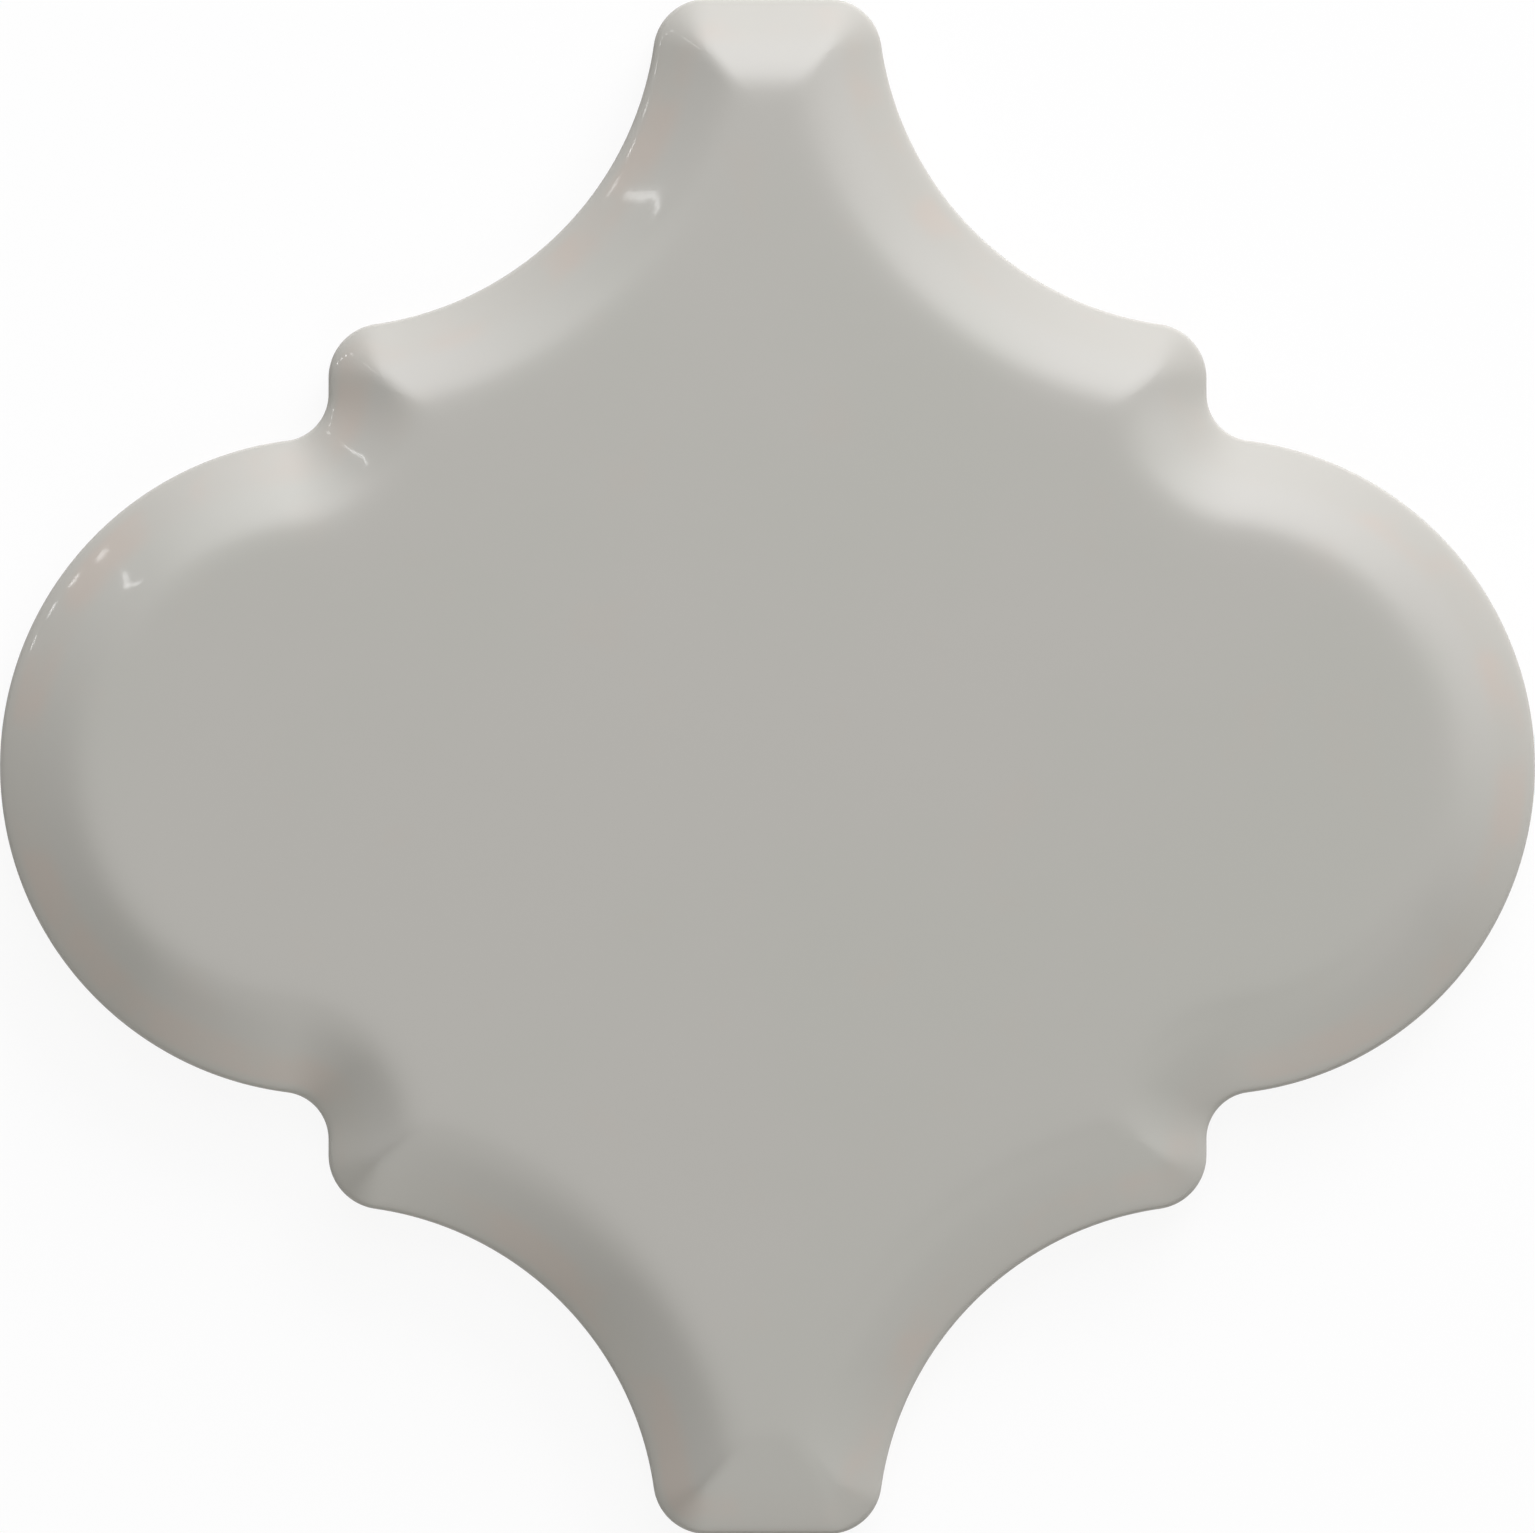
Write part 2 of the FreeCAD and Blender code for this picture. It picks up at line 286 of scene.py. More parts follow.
@dataclass(frozen=True)
class TileOutline:
    """Plan of the tile: mirrored quarters of lobe, notch, riser, shoulder, neck and tip.

    Attributes:
        half_width: From the centre to the end of a lobe.
        half_height: From the centre to a tip.
        tip_width: Width across a tip between its sharp corners.
        tip_corner: Radius of a tip's corners.
        shoulder: Radius of the outer corner between riser and neck.
        notch: Radius of the inner corner between lobe and riser.
        lobe_steps: Points along a quarter's lobe.
        neck_steps: Points along its neck.
        corner_steps: Points round each of its corners.
        tip_steps: Points along its half of a tip.
        riser_steps: Points up its riser.
    """

    half_width: float
    half_height: float
    tip_width: float = 21.6 * MM
    tip_corner: float = 5.2 * MM
    shoulder: float = 5.3 * MM
    notch: float = 4.6 * MM
    lobe_steps: int = 84
    neck_steps: int = 76
    corner_steps: int = 20
    tip_steps: int = 12
    riser_steps: int = 4

    @property
    def lobe(self) -> float:
        """Radius of the lobes and of the necks that take them."""
        return (self.half_width - self.tip_width / 2) / 2

    @property
    def riser_x(self) -> float:
        """Distance of the upright risers from the centre line."""
        return self.half_width - self.lobe

    @property
    def neck_centre(self) -> Vector:
        """Centre of a neck's arc."""
        return Vector((self.riser_x, self.half_height))

    @property
    def notch_centre(self) -> Vector:
        """Centre of the inner corner's arc."""
        return Vector((self.riser_x + self.notch, self.reach(self.notch)))

    @property
    def shoulder_centre(self) -> Vector:
        """Centre of the outer corner's arc."""
        return Vector((self.riser_x - self.shoulder, self.half_height - self.reach(self.shoulder)))

    @property
    def tip_centre(self) -> Vector:
        """Centre of the arc at a tip's corner."""
        return Vector((self.riser_x - self.reach(self.tip_corner), self.half_height - self.tip_corner))

    def reach(self, radius: float) -> float:
        """Distance along a straight side from a large arc's centre to a touching corner arc's."""
        return math.sqrt(self.lobe**2 + 2 * self.lobe * radius)

    def shoulder_mitre(self, inset: float) -> Vector:
        """Where the inset outline turns from the riser, or the notch, into the neck.

        Args:
            inset: Distance in from the edge.

        Returns:
            The corner of the inset outline.
        """
        corner = Vector((self.riser_x - inset, self.half_height - self.reach(inset)))
        if corner.y >= self.notch_centre.y:
            return corner
        first, second = self.notch + inset, self.lobe + inset
        apart = self.neck_centre - self.notch_centre
        along = (first**2 - second**2 + apart.length_squared) / (2 * apart.length)
        aside = math.sqrt(first**2 - along**2)
        direction = apart.normalized()
        return self.notch_centre + direction * along + Vector((-direction.y, direction.x)) * aside

    def tip_mitre(self, inset: float) -> Vector:
        """Where the inset outline turns from the neck into the tip."""
        return Vector((self.riser_x - self.reach(inset), self.half_height - inset))

    @staticmethod
    def arc(centre: Vector, radius: float, start: float, end: float, steps: int) -> list[Vector]:
        """Points of an arc, without its last one."""
        angles = [start + (end - start) * step / steps for step in range(steps)]
        return [centre + Vector((math.cos(a), math.sin(a))) * radius for a in angles]

    @staticmethod
    def run(start: Vector, end: Vector, steps: int) -> list[Vector]:
        """Points of a straight, without its last one."""
        return [start.lerp(end, step / steps) for step in range(steps)]

    @staticmethod
    def bearing(centre: Vector, point: Vector) -> float:
        """Angle of a point about a centre, from 0 to a full turn."""
        return math.atan2(point.y - centre.y, point.x - centre.x) % math.tau

    def quarter(self, inset: float) -> list[Vector]:
        """First quarter of the outline at an inset, from the lobe's end to the tip's middle.

        Args:
            inset: Distance in from the edge.

        Returns:
            Points in plan, as many at every inset.
        """
        lobe_turn = math.atan2(self.reach(self.notch), self.notch)
        shoulder_turn = math.atan2(self.reach(self.shoulder), self.shoulder)
        tip_turn = math.atan2(self.tip_corner, self.reach(self.tip_corner))
        mitre, tip_mitre = self.shoulder_mitre(inset), self.tip_mitre(inset)
        notch_end = math.pi
        riser_start = Vector((self.riser_x - inset, self.notch_centre.y))
        riser_end = Vector((self.riser_x - inset, self.shoulder_centre.y))
        if mitre.y < self.notch_centre.y:
            notch_end = self.bearing(self.notch_centre, mitre)
            riser_start = riser_end = mitre
        elif inset >= self.shoulder:
            riser_end = mitre
        steps = self.corner_steps
        if inset < self.shoulder:
            neck_start = math.pi + shoulder_turn
            shoulder_arc = self.arc(self.shoulder_centre, self.shoulder - inset, 0.0, shoulder_turn, steps)
        else:
            neck_start = self.bearing(self.neck_centre, mitre)
            shoulder_arc = [mitre] * steps
        if inset < self.tip_corner:
            neck_end = math.pi + tip_turn
            tip_arc = self.arc(self.tip_centre, self.tip_corner - inset, tip_turn, math.pi / 2, steps)
            tip_start = Vector((self.tip_centre.x, self.half_height - inset))
        else:
            neck_end = self.bearing(self.neck_centre, tip_mitre)
            tip_arc = [tip_mitre] * steps
            tip_start = tip_mitre
        tip_middle = Vector((0.0, self.half_height - inset))
        return [
            *self.arc(Vector((self.riser_x, 0.0)), self.lobe - inset, 0.0, lobe_turn, self.lobe_steps),
            *self.arc(self.notch_centre, self.notch + inset, math.pi + lobe_turn, notch_end, steps),
            *self.run(riser_start, riser_end, self.riser_steps),
            *shoulder_arc,
            *self.arc(self.neck_centre, self.lobe + inset, neck_start, neck_end, self.neck_steps),
            *tip_arc,
            *self.run(tip_start, tip_middle, self.tip_steps),
            tip_middle,
        ]

    def ring(self, inset: float) -> list[Vector]:
        """Whole outline at an inset, anticlockwise from the end of the right lobe."""
        first = self.quarter(inset)
        second = [Vector((-p.x, p.y)) for p in reversed(first)]
        upper = first + second[1:]
        lower = [Vector((p.x, -p.y)) for p in reversed(upper)]
        return upper + lower[1:-1]


@dataclass(frozen=True)
class TileSection:
    """Section through the tile's edge, from the flat face over the bevel and down the wall.

    Attributes:
        thickness: Height of the flat face above the back.
        bevel_width: From the edge to where slope and face would meet.
        bevel_drop: How far the slope falls over that width.
        crest_softness: Length over which the slope eases into the face.
        edge_drop: How much further the bevel falls as it rolls towards the edge.
        edge_softness: Length over which that roll dies out.
        lip_drop: Last fall at the edge itself.
        lip_softness: Length over which that fall dies out.
        foot_chamfer: Broken edge around the back.
        glaze_line: Height on the wall at which the glaze ends.
        glaze_step: How far the bare body stands back under the glaze.
        lip_rings: Rings just below the glaze line, as inset and height from it in shares of that step.
        innermost: Inset of the innermost ring, which the flat face fills.
        crest_start: Inset from which the rings follow the crest inwards.
        edge_start: Inset from which they close up towards the edge.
        crest_steps: Rings over the crest.
        slope_steps: Rings down the slope.
        edge_steps: Rings towards the edge.
        edge_ratio: Inset of each of those as a share of the one before it.
        wall_steps: Rings down the glazed wall.
    """

    thickness: float
    bevel_width: float = 7.8 * MM
    bevel_drop: float = 2.9 * MM
    crest_softness: float = 0.85 * MM
    edge_drop: float = 0.12 * MM
    edge_softness: float = 0.8 * MM
    lip_drop: float = 0.2 * MM
    lip_softness: float = 0.14 * MM
    foot_chamfer: float = 0.5 * MM
    glaze_line: float = 2.1 * MM
    glaze_step: float = 0.16 * MM
    lip_rings: tuple[Station, ...] = (
        Station(0.3, -0.9, Coat.GLAZE, 1.0),
        Station(1.0, -1.4, Coat.GLAZE, 1.0),
        Station(1.0, -2.6, Coat.BARE, 0.8),
    )
    innermost: float = 10.6 * MM
    crest_start: float = 4.4 * MM
    edge_start: float = 2.4 * MM
    crest_steps: int = 16
    slope_steps: int = 4
    edge_steps: int = 13
    edge_ratio: float = 0.72
    wall_steps: int = 5

    @property
    def wall_top(self) -> float:
        """Height at which the wall meets the rolled edge."""
        return self.thickness - self.bevel_drop - self.edge_drop - self.lip_drop

    def top_stations(self) -> list[Station]:
        """Rings of the face before it is pressed, from the flat outwards to the edge."""
        insets: list[float] = []
        for start, end, steps in (
            (self.innermost, self.crest_start, self.crest_steps),
            (self.crest_start, self.edge_start, self.slope_steps),
        ):
            insets += [start + (end - start) * step / steps for step in range(steps)]
        insets += [self.edge_start * self.edge_ratio**step for step in range(self.edge_steps)]
        return [Station(inset, self.thickness, Coat.GLAZE, 0.0) for inset in (*insets, 0.0)]

    def wall_stations(self) -> list[Station]:
        """Rings below the edge, down the wall and round the foot."""
        stations = []
        for step in range(1, self.wall_steps + 1):
            share = step / self.wall_steps
            height = self.wall_top + (self.glaze_line - self.wall_top) * share
            stations.append(Station(0.0, height, Coat.GLAZE, share**2))
        for ring in self.lip_rings:
            height = self.glaze_line + ring.height * self.glaze_step
            stations.append(Station(ring.inset * self.glaze_step, height, ring.coat, ring.wander))
        stations.append(Station(self.glaze_step, self.foot_chamfer, Coat.BARE, 0.0))
        stations.append(Station(self.glaze_step + self.foot_chamfer, 0.0, Coat.BARE, 0.0))
        return stations


@dataclass(frozen=True)
class GlazeFinish:
    """Gloss glaze in a warm light grey, thin and patchily pinker where it drains off the bevel.

    Attributes:
        colour: Glaze on the flat face.
        pool_colour: Clouds of slightly thicker glaze in it.
        thin_colour: Thin glaze on the outer bevel.
        blush_colour: Patches there where the body shows through most.
        speck_colour: Fired-in specks.
        roughness: Roughness of the gloss.
        ior: Index of refraction.
        thin_until: Inset from which the coat is full.
        thin_from: Inset up to which it is fully thin.
        bead_core: Inset up to which the edge's bead carries no blush.
        edge_bead: Inset at which the bead has ended.
        blush_size: Grain of the patches.
        blush_seed: Slice of the noise that lays them out.
        blush_span: Noise at which a patch on the bevel begins and is full.
        face_span: The same on the flat face.
        blush_on_face: Strength of the patches there.
        mottle_size: Grain of the clouds.
        cloud_span: Noise at which a cloud begins and is full.
        peel_size: Grain of the orange peel.
        peel_depth: Its depth.
        speck_spacing: From speck to speck.
        speck_size: Radius of the largest speck, as a share of that.
        speck_strength: How far a speck covers the glaze.
    """

    colour: Colour = (0.416, 0.405, 0.374)
    pool_colour: Colour = (0.408, 0.403, 0.368)
    thin_colour: Colour = (0.410, 0.398, 0.363)
    blush_colour: Colour = (0.434, 0.391, 0.347)
    speck_colour: Colour = (0.16, 0.14, 0.12)
    roughness: float = 0.06
    ior: float = 1.5
    thin_until: float = 5.0 * MM
    thin_from: float = 2.8 * MM
    bead_core: float = 0.42 * MM
    edge_bead: float = 1.4 * MM
    blush_size: float = 9 * MM
    blush_seed: float = 67.2
    blush_span: Span = (0.42, 0.63)
    face_span: Span = (0.60, 0.72)
    blush_on_face: float = 0.16
    mottle_size: float = 34 * MM
    cloud_span: Span = (0.42, 0.70)
    peel_size: float = 2.4 * MM
    peel_depth: float = 0.005 * MM
    speck_spacing: float = 19 * MM
    speck_size: float = 0.016
    speck_strength: float = 0.55

    def material(self) -> bpy.types.Material:
        """Make the glaze.

        Returns:
            A node material that reads the blank's inset mark.
        """
        draft = MaterialTree("glaze")
        inset = draft.add("ShaderNodeAttribute", attribute_name=Mark.INSET.value).outputs["Fac"]
        mottle = draft.noise(draft.place, 1 / self.mottle_size, detail=3.0, roughness=0.55)
        blush = draft.noise(draft.place, 1 / self.blush_size, detail=2.0, seed=self.blush_seed)
        thin = draft.smooth_step(inset, self.thin_until, self.thin_from)
        bead = draft.smooth_step(inset, self.bead_core, self.edge_bead)
        warm = draft.math("MULTIPLY", draft.smooth_step(blush, *self.blush_span), bead)
        edge = draft.mix(warm, opaque(self.thin_colour), opaque(self.blush_colour))
        cloud = draft.smooth_step(mottle, *self.cloud_span)
        body = draft.mix(cloud, opaque(self.colour), opaque(self.pool_colour))
        faint = draft.math("MULTIPLY", draft.smooth_step(blush, *self.face_span), self.blush_on_face)
        body = draft.mix(faint, body, opaque(self.blush_colour))
        body = draft.mix(thin, body, edge)
        cell = draft.add(
            "ShaderNodeTexVoronoi",
            {"Vector": draft.place, "Scale": 1 / self.speck_spacing, "Randomness": 1.0},
        )
        speck_size = draft.math("MULTIPLY", cell.outputs["Color"], self.speck_size)
        speck = draft.math("LESS_THAN", cell.outputs["Distance"], speck_size)
        covered = draft.math("MULTIPLY", speck, self.speck_strength)
        body = draft.mix(covered, body, opaque(self.speck_colour))
        peel = draft.noise(draft.place, 1 / self.peel_size, detail=2.0)
        inputs = {"Base Color": body, "Roughness": self.roughness, "IOR": self.ior}
        return draft.close(inputs, peel, self.peel_depth)


@dataclass(frozen=True)
class BiscuitFinish:
    """Bare fired body: pale buff, dry and fine grained.

    Attributes:
        colour: The body.
        shade: Its darker grains and patches.
        shade_span: Mixed noise at which the shade begins and is full.
        grain_size: Size of the grains.
        grain_share: Weight of the grains in the mixed noise.
        grain_depth: Relief of the grains.
        grain_strength: Strength of the bump that shows it.
        patch_size: Size of the patches.
        patch_share: Weight of the patches in the mixed noise.
        roughness: Roughness between the grains.
        grain_roughness: How much rougher the grains are.
    """

    colour: Colour = (0.51, 0.42, 0.32)
    shade: Colour = (0.43, 0.34, 0.25)
    shade_span: Span = (0.38, 0.64)
    grain_size: float = 0.45 * MM
    grain_share: float = 0.45
    grain_depth: float = 0.05 * MM
    grain_strength: float = 0.8
    patch_size: float = 22 * MM
    patch_share: float = 0.55
    roughness: float = 0.74
    grain_roughness: float = 0.2

    def material(self) -> bpy.types.Material:
        """Make the bare body.

        Returns:
            A node material in object coordinates.
        """
        draft = MaterialTree("biscuit")
        grain = draft.noise(draft.place, 1 / self.grain_size, detail=4.0, roughness=0.65)
        patch = draft.noise(draft.place, 1 / self.patch_size, detail=3.0)
        grains = draft.math("MULTIPLY", grain, self.grain_share)
        share = draft.math("ADD", grains, draft.math("MULTIPLY", patch, self.patch_share))
        dark = draft.smooth_step(share, *self.shade_span)
        body = draft.mix(dark, opaque(self.colour), opaque(self.shade))
        rough = draft.math("ADD", self.roughness, draft.math("MULTIPLY", grain, self.grain_roughness))
        inputs = {"Base Color": body, "Roughness": rough}
        return draft.close(inputs, grain, self.grain_depth, self.grain_strength)


@dataclass
class GlazedTile:
    """The tile: a flat blank, pressed to its bevel and keyed on its back by two node trees.

    Attributes:
        outline: Plan.
        section: Section through the edge.
        glaze: Finish of the face and the upper wall.
        biscuit: Finish of the bare body.
        flat_spacing: From point to point in the flat face's net.
        flat_row: From row to row there, as a share of that.
        flat_margin: Gap between net and border, as a share of that.
        softening: Radius of the circle that softens the mitres.
        softening_share: Most of the distance from the rim that it takes up.
        softening_taps: Points on the circle.
        ripple_depth: Depth of the face's slow ripple.
        ripple_size: Its grain.
        ripple_span: Insets at which it begins and is full.
        wander: How far the glaze line wanders.
        wander_size: Grain of the wander.
        seed: Slice of the noise for ripple and wander.
        back_rim: Flat rim around the grooves.
        groove_width: Width of a groove at the back's plane.
        groove_depth: Its depth.
        groove_draft: How far each of its sides leans in.
        groove_pitch: From groove to groove.
        grooves: How many there are.
        sharp_angle: Turn from which an edge stays sharp.
    """

    outline: TileOutline
    section: TileSection
    glaze: GlazeFinish = GlazeFinish()
    biscuit: BiscuitFinish = BiscuitFinish()
    flat_spacing: float = 1.6 * MM
    flat_row: float = 0.866
    flat_margin: float = 0.6
    softening: float = 0.6 * MM
    softening_share: float = 0.9
    softening_taps: int = 12
    ripple_depth: float = 0.016 * MM
    ripple_size: float = 17 * MM
    ripple_span: Span = (1 * MM, 6 * MM)
    wander: float = 0.45 * MM
    wander_size: float = 11 * MM
    seed: float = 7.3
    back_rim: float = 7.0 * MM
    groove_width: float = 3.0 * MM
    groove_depth: float = 0.7 * MM
    groove_draft: float = 0.35 * MM
    groove_pitch: float = 9.0 * MM
    grooves: int = 14
    sharp_angle: float = math.radians(32)

    def build(self) -> bpy.types.Object:
        """Make the tile and put it in place of its solid.

        Returns:
            The finished piece.
        """
        mesh = self.blank()
        piece = bpy.data.objects.new("glazed_tile", mesh)
        bpy.context.scene.collection.objects.link(piece)
        glaze, biscuit = self.glaze.material(), self.biscuit.material()
        self.pressing_tree(glaze).fit_to(piece)
        self.keying_tree(glaze, biscuit).fit_to(piece)
        depsgraph = bpy.context.evaluated_depsgraph_get()
        finished = bpy.data.meshes.new_from_object(piece.evaluated_get(depsgraph))
        piece.modifiers.clear()
        piece.data = finished
        bpy.data.meshes.remove(mesh)
        finished.name = piece.name
        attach(piece, BODY)
        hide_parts(NODE)
        return piece

    def blank(self) -> bpy.types.Mesh:
        """Closed flat blank of rings along the outline, with the marks that the trees read.

        Returns:
            A mesh whose face is level at the tile's thickness.
        """
        shape = bmesh.new()
        on_verts = (Mark.PRESSED, Mark.RIM, Mark.WANDER)
        marks = {mark: shape.verts.layers.float.new(mark.value) for mark in on_verts}
        bare = shape.faces.layers.float.new(Mark.BARE.value)
        stations = self.section.top_stations()
        pressed = len(stations)
        stations += self.section.wall_stations()
        upper: Ring = []
        for number, station in enumerate(stations):
            ring = self.ring_of_verts(shape, self.outline.ring(station.inset), station.height)
            for vert in ring:
                vert[marks[Mark.PRESSED]] = float(number < pressed)
                vert[marks[Mark.RIM]] = float(number == pressed - 1)
                vert[marks[Mark.WANDER]] = station.wander
            if upper:
                for face in self.band(shape, upper, ring):
                    face[bare] = float(station.coat is Coat.BARE)
            else:
                self.fill_flat(shape, ring, marks[Mark.PRESSED])
            upper = ring
        back = shape.faces.new(list(dict.fromkeys(reversed(upper))))
        back[bare] = 1.0
        mesh = bpy.data.meshes.new("blank")
        shape.to_mesh(mesh)
        shape.free()
        return mesh

    @staticmethod
    def ring_of_verts(shape: bmesh.types.BMesh, points: list[Vector], height: float) -> Ring:
        """Verts of one ring; points that fall together share a vert."""
        ring: Ring = []
        for point in points:
            place = Vector((point.x, point.y, height))
            if ring and (ring[-1].co - place).length < WELD:
                ring.append(ring[-1])
            else:
                ring.append(shape.verts.new(place))
        return ring

    @staticmethod
    def band(shape: bmesh.types.BMesh, upper: Ring, lower: Ring) -> list[bmesh.types.BMFace]:
        """Faces between two rings, without the ones that have shrunk to a line."""
        faces = []
        count = len(upper)
        for index in range(count):
            after = (index + 1) % count
            corners = dict.fromkeys((upper[index], lower[index], lower[after], upper[after]))
            if len(corners) > 2:
                faces.append(shape.faces.new(list(corners)))
        return faces

    def fill_flat(self, shape: bmesh.types.BMesh, ring: Ring, mark: bmesh.types.BMLayerItem) -> None:
        """Fill the flat face inside its ring with an even net of triangles.

        Args:
            shape: Mesh under construction.
            ring: The innermost ring.
            mark: Layer that marks the pressed face.
        """
        border = list(dict.fromkeys(ring))
        tree = KDTree(len(border))
        for index, vert in enumerate(border):
            tree.insert(vert.co, index)
        tree.balance()
        height = self.section.thickness
        points = [vert.co.to_2d() for vert in border]
        rows = int(self.outline.half_height / self.flat_spacing)
        columns = int(self.outline.half_width / self.flat_spacing)
        for row in range(-rows, rows + 1):
            shift = 0.5 * (row % 2)
            y = row * self.flat_spacing * self.flat_row
            for column in range(-columns, columns + 1):
                spot = Vector(((column + shift) * self.flat_spacing, y, height))
                _, _, distance = tree.find(spot)
                if distance > self.flat_margin * self.flat_spacing:
                    points.append(spot.to_2d())
        edges = [(index, (index + 1) % len(border)) for index in range(len(border))]
        places, _, triangles, sources, _, _ = delaunay_2d_cdt(points, edges, [], INSIDE_BORDER, WELD)
        verts: dict[int, bmesh.types.BMVert] = {}
        for triangle in triangles:
            for index in triangle:
                if index in verts:
                    continue
                source = sources[index][0]
                if source < len(border):
                    verts[index] = border[source]
                else:
                    verts[index] = shape.verts.new((*places[index], height))
                    verts[index][mark] = 1.0
            shape.faces.new([verts[index] for index in triangle])

    def pressing_tree(self, glaze: bpy.types.Material) -> GeometryTree:
        """Tree that presses the bevel into the blank by distance from its rim.

        Args:
            glaze: Material of the pressed face.

        Returns:
            A tree with the section's sizes as inputs.
        """
        section = self.section
        tree = GeometryTree(
            "pressed_bevel",
            {
                "Thickness": section.thickness,
                "Bevel Width": section.bevel_width,
                "Bevel Drop": section.bevel_drop,
                "Crest Softness": section.crest_softness,
                "Edge Drop": section.edge_drop,
                "Edge Softness": section.edge_softness,
                "Lip Drop": section.lip_drop,
                "Lip Softness": section.lip_softness,
                "Softening": self.softening,
                "Ripple Depth": self.ripple_depth,
                "Ripple Size": self.ripple_size,
                "Glaze Wander": self.wander,
                "Wander Size": self.wander_size,
                "Seed": self.seed,
            },
        )
        blank = tree.size("Geometry")
        place = tree.add("GeometryNodeInputPosition").outputs[0]
        axes = tree.add("ShaderNodeSeparateXYZ", {0: place}).outputs
        inset = self.softened_inset(tree, blank, place)
        inside = tree.smooth_step(inset, *self.ripple_span)
        ripple = tree.math("MULTIPLY", self.seeded_noise(tree, place, "Ripple Size"), inside)
        dip = tree.math("MULTIPLY", ripple, tree.size("Ripple Depth"))
        height = tree.math("SUBTRACT", self.pressed_height(tree, inset), dip)
        kept_inset = tree.math("MULTIPLY", inset, tree.attribute(Mark.PRESSED))
        marked = tree.store(blank, Mark.INSET, kept_inset, "POINT")
        raised = tree.vector(axes["X"], axes["Y"], height)
        pressed = tree.add(
            "GeometryNodeSetPosition",
            {"Geometry": marked, "Selection": tree.is_set(Mark.PRESSED), "Position": raised},
        ).outputs[0]
        # Noise from 0 to 1 becomes a drift from -1 to 1, alike all the way down the wall.
        level = tree.vector(axes["X"], axes["Y"])
        drift = tree.math("MULTIPLY_ADD", self.seeded_noise(tree, level, "Wander Size"), 2.0, -1.0)
        drift = tree.math("MULTIPLY", drift, tree.size("Glaze Wander"))
        drift = tree.math("MULTIPLY", drift, tree.attribute(Mark.WANDER))
        drained = tree.add(
            "GeometryNodeSetPosition", {"Geometry": pressed, "Offset": tree.vector(z=drift)}
        ).outputs[0]
        tree.close(drained, (glaze, True))
        return tree

    def softened_inset(self, tree: GeometryTree, blank: Socket, place: Socket) -> Socket:
        """Distance from the rim, averaged over a small circle so that mitres come out soft.

        Args:
            tree: Tree under construction.
            blank: The blank's geometry.
            place: Position of the point.

        Returns:
            The softened distance.
        """
        rim = tree.add(
            "GeometryNodeSeparateGeometry",
            {"Geometry": blank, "Selection": tree.is_set(Mark.RIM)},
            domain="POINT",
        ).outputs["Selection"]

        def distance_at(spot: Socket) -> Socket:
            """Distance of a spot from the rim."""
            inputs = {"Geometry": rim, "Sample Position": spot}
            return tree.add("GeometryNodeProximity", inputs, target_element="EDGES").outputs["Distance"]

        widest = tree.math("MULTIPLY", distance_at(place), self.softening_share)
        radius = tree.math("MINIMUM", tree.size("Softening"), widest)
        total: Value = 0.0
        for tap in range(self.softening_taps):
            angle = math.tau * tap / self.softening_taps
            direction = (math.cos(angle), math.sin(angle), 0.0)
            spot = tree.add(
                "ShaderNodeVectorMath", {0: direction, 1: radius, 2: place}, operation="MULTIPLY_ADD"
            ).outputs[0]
            total = tree.math("ADD", total, distance_at(spot))
        return tree.math("DIVIDE", total, float(self.softening_taps))

    @staticmethod
    def pressed_height(tree: GeometryTree, inset: Socket) -> Socket:
        """Height of the pressed face at an inset: rolled edge, slope, soft crest, flat.

        Args:
            tree: Tree under construction.
            inset: Distance from the rim.

        Returns:
            The height above the back.
        """
        width, crest = tree.size("Bevel Width"), tree.size("Crest Softness")
        steep = tree.math("DIVIDE", tree.size("Bevel Drop"), width)
        reach = tree.math("DIVIDE", tree.math("SUBTRACT", width, inset), crest)
        ease = tree.math("LOGARITHM", tree.math("ADD", tree.math("EXPONENT", reach), 1.0), math.e)
        fall = tree.math("MULTIPLY", tree.math("MULTIPLY", steep, crest), ease)
        for drop, softness in (("Edge Drop", "Edge Softness"), ("Lip Drop", "Lip Softness")):
            fade = tree.math("DIVIDE", tree.math("MULTIPLY", inset, -1.0), tree.size(softness))
            fall = tree.math("MULTIPLY_ADD", tree.math("EXPONENT", fade), tree.size(drop), fall)
        return tree.math("SUBTRACT", tree.size("Thickness"), fall)

    @staticmethod
    def seeded_noise(tree: GeometryTree, place: Socket, size: str) -> Socket:
        """Seeded noise with the grain of a named input."""
        scale = tree.math("DIVIDE", 1.0, tree.size(size))
        return tree.noise(place, scale, detail=1.0, seed=tree.size("Seed"))

